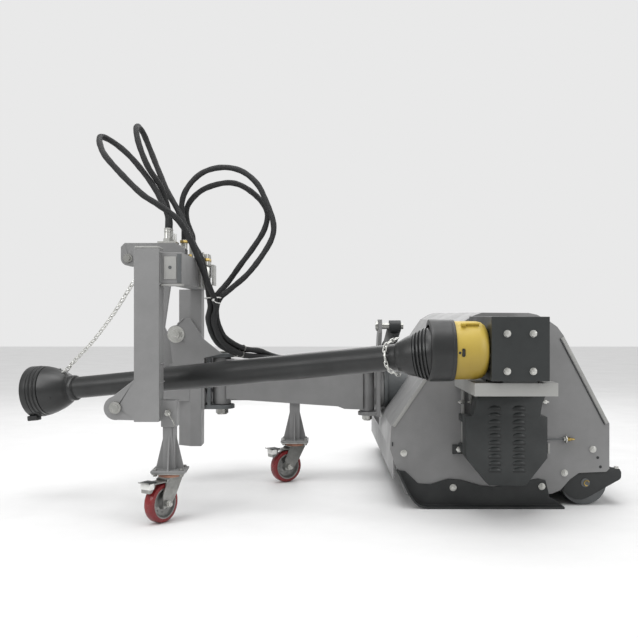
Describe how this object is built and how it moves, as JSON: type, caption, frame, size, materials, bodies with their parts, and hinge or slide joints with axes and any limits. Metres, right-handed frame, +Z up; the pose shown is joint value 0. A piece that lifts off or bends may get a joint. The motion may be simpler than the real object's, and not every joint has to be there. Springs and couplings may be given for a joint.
{
  "type": "offset flail mower",
  "caption": "Offset bank and verge flail mower for a three-point linkage, with side-shift arm, tilting belt-driven deck, PTO shaft, castors and hoses.",
  "frame": {"origin": "floor level, under the middle of the machine's box without its hoses", "axes": "+X from the tractor to the rear, +Y towards the machine's right, away from the camera, +Z up"},
  "size_m": [2.156, 1.705, 1.3554],
  "materials": {
    "machine_grey": "semi-gloss mid grey paint",
    "shelf_grey": "light grey paint",
    "dark_steel": "dark grey paint",
    "black_paint": "satin black paint",
    "bright_steel": "machined steel",
    "zinc": "zinc plate",
    "cast": "rough casting",
    "bronze": "plain bearing bronze",
    "castor_zinc": "dull zinc plate",
    "wheel_red": "dark red polyurethane",
    "black_plastic": "moulded black plastic",
    "black_rubber": "black rubber",
    "yellow_plastic": "yellow plastic",
    "chrome_rod": "hard chrome",
    "hose_sleeve": "woven black sleeve"
  },
  "bodies": {
    "headstock": {"headstock_frame": "machine_grey", "top_link_plates": "machine_grey", "top_link_pin": "bright_steel", "hitch_pins": "bright_steel", "lynch_pins": "zinc", "pivot_fork": "dark_steel", "pivot_pins": "bright_steel", "breakaway_bolt": "zinc", "hose_bracket": "zinc", "near_leg": "machine_grey", "near_castor_plate": "castor_zinc", "hoses": "hose_sleeve"},
    "near_lock": {"near_lock_pin": "zinc"},
    "near_swivel": {"near_fork": "castor_zinc"},
    "near_roll": {"near_wheel": "wheel_red"},
    "near_brake": {"near_pedal": "black_paint"},
    "arm": {"arm_beam": "machine_grey", "arm_bushes": "bronze", "far_castor_plate": "castor_zinc"},
    "far_swivel": {"far_fork": "castor_zinc"},
    "far_roll": {"far_wheel": "wheel_red"},
    "far_brake": {"far_pedal": "black_paint"},
    "link": {"parallel_link": "machine_grey"},
    "carrier": {"carrier": "machine_grey", "outer_pivot_pin": "bright_steel", "tilt_shaft": "dark_steel"},
    "shift_cylinder": {"shift_barrel": "black_paint"},
    "shift_piston": {"shift_rod": "chrome_rod"},
    "tilt_cylinder": {"tilt_barrel": "black_paint"},
    "tilt_piston": {"tilt_rod": "chrome_rod"},
    "deck": {"tilt_tube": "dark_steel", "deck_hood": "machine_grey", "near_end_plate": "machine_grey", "far_end_plate": "machine_grey", "skids": "black_paint", "roller_brackets": "black_paint", "rotor_bearings": "dark_steel", "gearbox_shelf": "shelf_grey", "gearbox_guard": "black_paint", "yellow_guard": "yellow_plastic", "gearbox_casing": "cast", "drive_belts": "black_rubber", "belt_guard": "black_paint"},
    "flap": {"front_flap": "black_rubber"},
    "roller": {"rear_roller": "dark_steel"},
    "rotor": {"rotor": "dark_steel", "lower_pulley": "cast"},
    "flails_1": {"flail_row_1": "bright_steel"},
    "flails_2": {"flail_row_2": "bright_steel"},
    "flails_3": {"flail_row_3": "bright_steel"},
    "flails_4": {"flail_row_4": "bright_steel"},
    "input": {"input_shaft": "bright_steel"},
    "output": {"output_shaft": "bright_steel"},
    "pto_cross": {"pto_cross": "bright_steel"},
    "pto_rear": {"pto_rear_guard": "black_plastic"},
    "pto_front": {"pto_front_guard": "black_plastic"},
    "pto_rear_spin": {"pto_rear_shaft": "bright_steel"},
    "pto_front_spin": {"pto_front_shaft": "bright_steel"}
  },
  "joints": [
    {"name": "side_shift", "type": "hinge", "parent": "headstock", "child": "arm", "pos_m": [-0.36, 0.014, 0.4], "axis": [0, 0, 1], "range_deg": [-15, 35]},
    {"name": "head_parallel", "type": "hinge", "parent": "arm", "child": "carrier", "pos_m": [0.22, 0.014, 0.36], "axis": [0, 0, 1], "range_deg": [-36, 16]},
    {"name": "link_swing", "type": "hinge", "parent": "headstock", "child": "link", "pos_m": [-0.36, 0.124, 0.326], "axis": [0, 0, 1], "range_deg": [-16, 36]},
    {"name": "shift_cyl_swing", "type": "hinge", "parent": "headstock", "child": "shift_cylinder", "pos_m": [-0.402, 0.195, 0.41], "axis": [0, 0, 1], "range_deg": [-16, 33]},
    {"name": "shift_cyl_slide", "type": "slide", "parent": "shift_cylinder", "child": "shift_piston", "axis": [0.977, -0.213, 0], "range_m": [-0.112, 0.05]},
    {"name": "tilt", "type": "hinge", "parent": "carrier", "child": "deck", "pos_m": [0.288, 0.014, 0.37], "axis": [1, 0, 0], "range_deg": [-30, 34]},
    {"name": "tilt_cyl_swing", "type": "hinge", "parent": "carrier", "child": "tilt_cylinder", "pos_m": [0.318, -0.136, 0.62], "axis": [1, 0, 0], "range_deg": [-17, 20]},
    {"name": "tilt_cyl_slide", "type": "slide", "parent": "tilt_cylinder", "child": "tilt_piston", "axis": [0, 0.9489, -0.3156], "range_m": [-0.116, 0.103]},
    {"name": "pto_swing", "type": "hinge", "parent": "deck", "child": "pto_cross", "pos_m": [0.508, -0.765, 0.556], "axis": [0, 0, 1], "range_deg": [-6, 13]},
    {"name": "pto_lift", "type": "hinge", "parent": "pto_cross", "child": "pto_rear", "pos_m": [0.508, -0.765, 0.556], "axis": [0.284, 0.9588, 0], "range_deg": [-6, 8]},
    {"name": "pto_telescope", "type": "slide", "parent": "pto_rear", "child": "pto_front", "axis": [-0.9532, 0.2824, -0.108], "range_m": [-0.15, 0.1]},
    {"name": "input_spin", "type": "hinge", "parent": "deck", "child": "input", "pos_m": [0.508, -0.765, 0.556], "axis": [1, 0, 0], "continuous": true},
    {"name": "pto_rear_turn", "type": "hinge", "parent": "pto_rear", "child": "pto_rear_spin", "pos_m": [0.508, -0.765, 0.556], "axis": [0.9532, -0.2824, 0.108], "continuous": true},
    {"name": "pto_front_turn", "type": "hinge", "parent": "pto_front", "child": "pto_front_spin", "pos_m": [0.508, -0.765, 0.556], "axis": [0.9532, -0.2824, 0.108], "continuous": true},
    {"name": "output_spin", "type": "hinge", "parent": "deck", "child": "output", "pos_m": [0.636, -0.645, 0.556], "axis": [0, 1, 0], "continuous": true},
    {"name": "rotor_spin", "type": "hinge", "parent": "deck", "child": "rotor", "pos_m": [0.636, -0.445, 0.205], "axis": [0, 1, 0], "continuous": true},
    {"name": "roller_spin", "type": "hinge", "parent": "deck", "child": "roller", "pos_m": [0.953, -0.445, 0.08], "axis": [0, 1, 0], "continuous": true},
    {"name": "flap_swing", "type": "hinge", "parent": "deck", "child": "flap", "pos_m": [0.2885, -0.345, 0.19], "axis": [0, 1, 0], "range_deg": [-45, 45]},
    {"name": "near_swivel", "type": "hinge", "parent": "headstock", "child": "near_swivel", "pos_m": [-0.455, -0.635, 0.145], "axis": [0, 0, 1], "continuous": true},
    {"name": "near_roll", "type": "hinge", "parent": "near_swivel", "child": "near_roll", "pos_m": [-0.47726, -0.67062, 0.0625], "axis": [-0.848, 0.5299, 0], "continuous": true},
    {"name": "near_brake", "type": "hinge", "parent": "near_swivel", "child": "near_brake", "pos_m": [-0.46984, -0.65875, 0.131], "axis": [-0.848, 0.5299, 0], "range_deg": [-8, 0]},
    {"name": "far_swivel", "type": "hinge", "parent": "arm", "child": "far_swivel", "pos_m": [-0.069, 0.014, 0.145], "axis": [0, 0, 1], "continuous": true},
    {"name": "far_roll", "type": "hinge", "parent": "far_swivel", "child": "far_roll", "pos_m": [-0.10398, -0.00924, 0.0625], "axis": [-0.5534, 0.8329, 0], "continuous": true},
    {"name": "far_brake", "type": "hinge", "parent": "far_swivel", "child": "far_brake", "pos_m": [-0.09232, -0.0015, 0.131], "axis": [-0.5534, 0.8329, 0], "range_deg": [-8, 0]},
    {"name": "near_lock_slide", "type": "slide", "parent": "headstock", "child": "near_lock", "axis": [0, -1, 0], "range_m": [0, 0.07]},
    {"name": "flail_swing_1", "type": "hinge", "parent": "rotor", "child": "flails_1", "pos_m": [0.68974, -0.145, 0.25874], "axis": [0, 1, 0], "range_deg": [-60, 60]},
    {"name": "flail_swing_2", "type": "hinge", "parent": "rotor", "child": "flails_2", "pos_m": [0.68974, -0.145, 0.15126], "axis": [0, 1, 0], "range_deg": [-60, 60]},
    {"name": "flail_swing_3", "type": "hinge", "parent": "rotor", "child": "flails_3", "pos_m": [0.58226, -0.145, 0.15126], "axis": [0, 1, 0], "range_deg": [-60, 60]},
    {"name": "flail_swing_4", "type": "hinge", "parent": "rotor", "child": "flails_4", "pos_m": [0.58226, -0.145, 0.25874], "axis": [0, 1, 0], "range_deg": [-60, 60]}
  ],
  "couplings": [
    {"joint": "head_parallel", "follows": "side_shift", "ratio": -1},
    {"joint": "link_swing", "follows": "side_shift", "ratio": 1},
    {"joint": "shift_cyl_swing", "follows": "side_shift", "ratio": 0.88},
    {"joint": "shift_cyl_slide", "follows": "side_shift", "m_per_rad": -0.175},
    {"joint": "tilt_cyl_swing", "follows": "tilt", "ratio": 0.536},
    {"joint": "tilt_cyl_slide", "follows": "tilt", "m_per_rad": -0.19},
    {"joint": "pto_swing", "follows": "side_shift", "ratio": 0.33},
    {"joint": "pto_telescope", "follows": "side_shift", "m_per_rad": -0.22},
    {"joint": "pto_lift", "follows": "tilt", "ratio": 0.178},
    {"joint": "pto_rear_turn", "follows": "input_spin", "ratio": 1},
    {"joint": "pto_front_turn", "follows": "input_spin", "ratio": 1},
    {"joint": "output_spin", "follows": "input_spin", "ratio": 1.732},
    {"joint": "rotor_spin", "follows": "input_spin", "ratio": 2.9444}
  ]
}
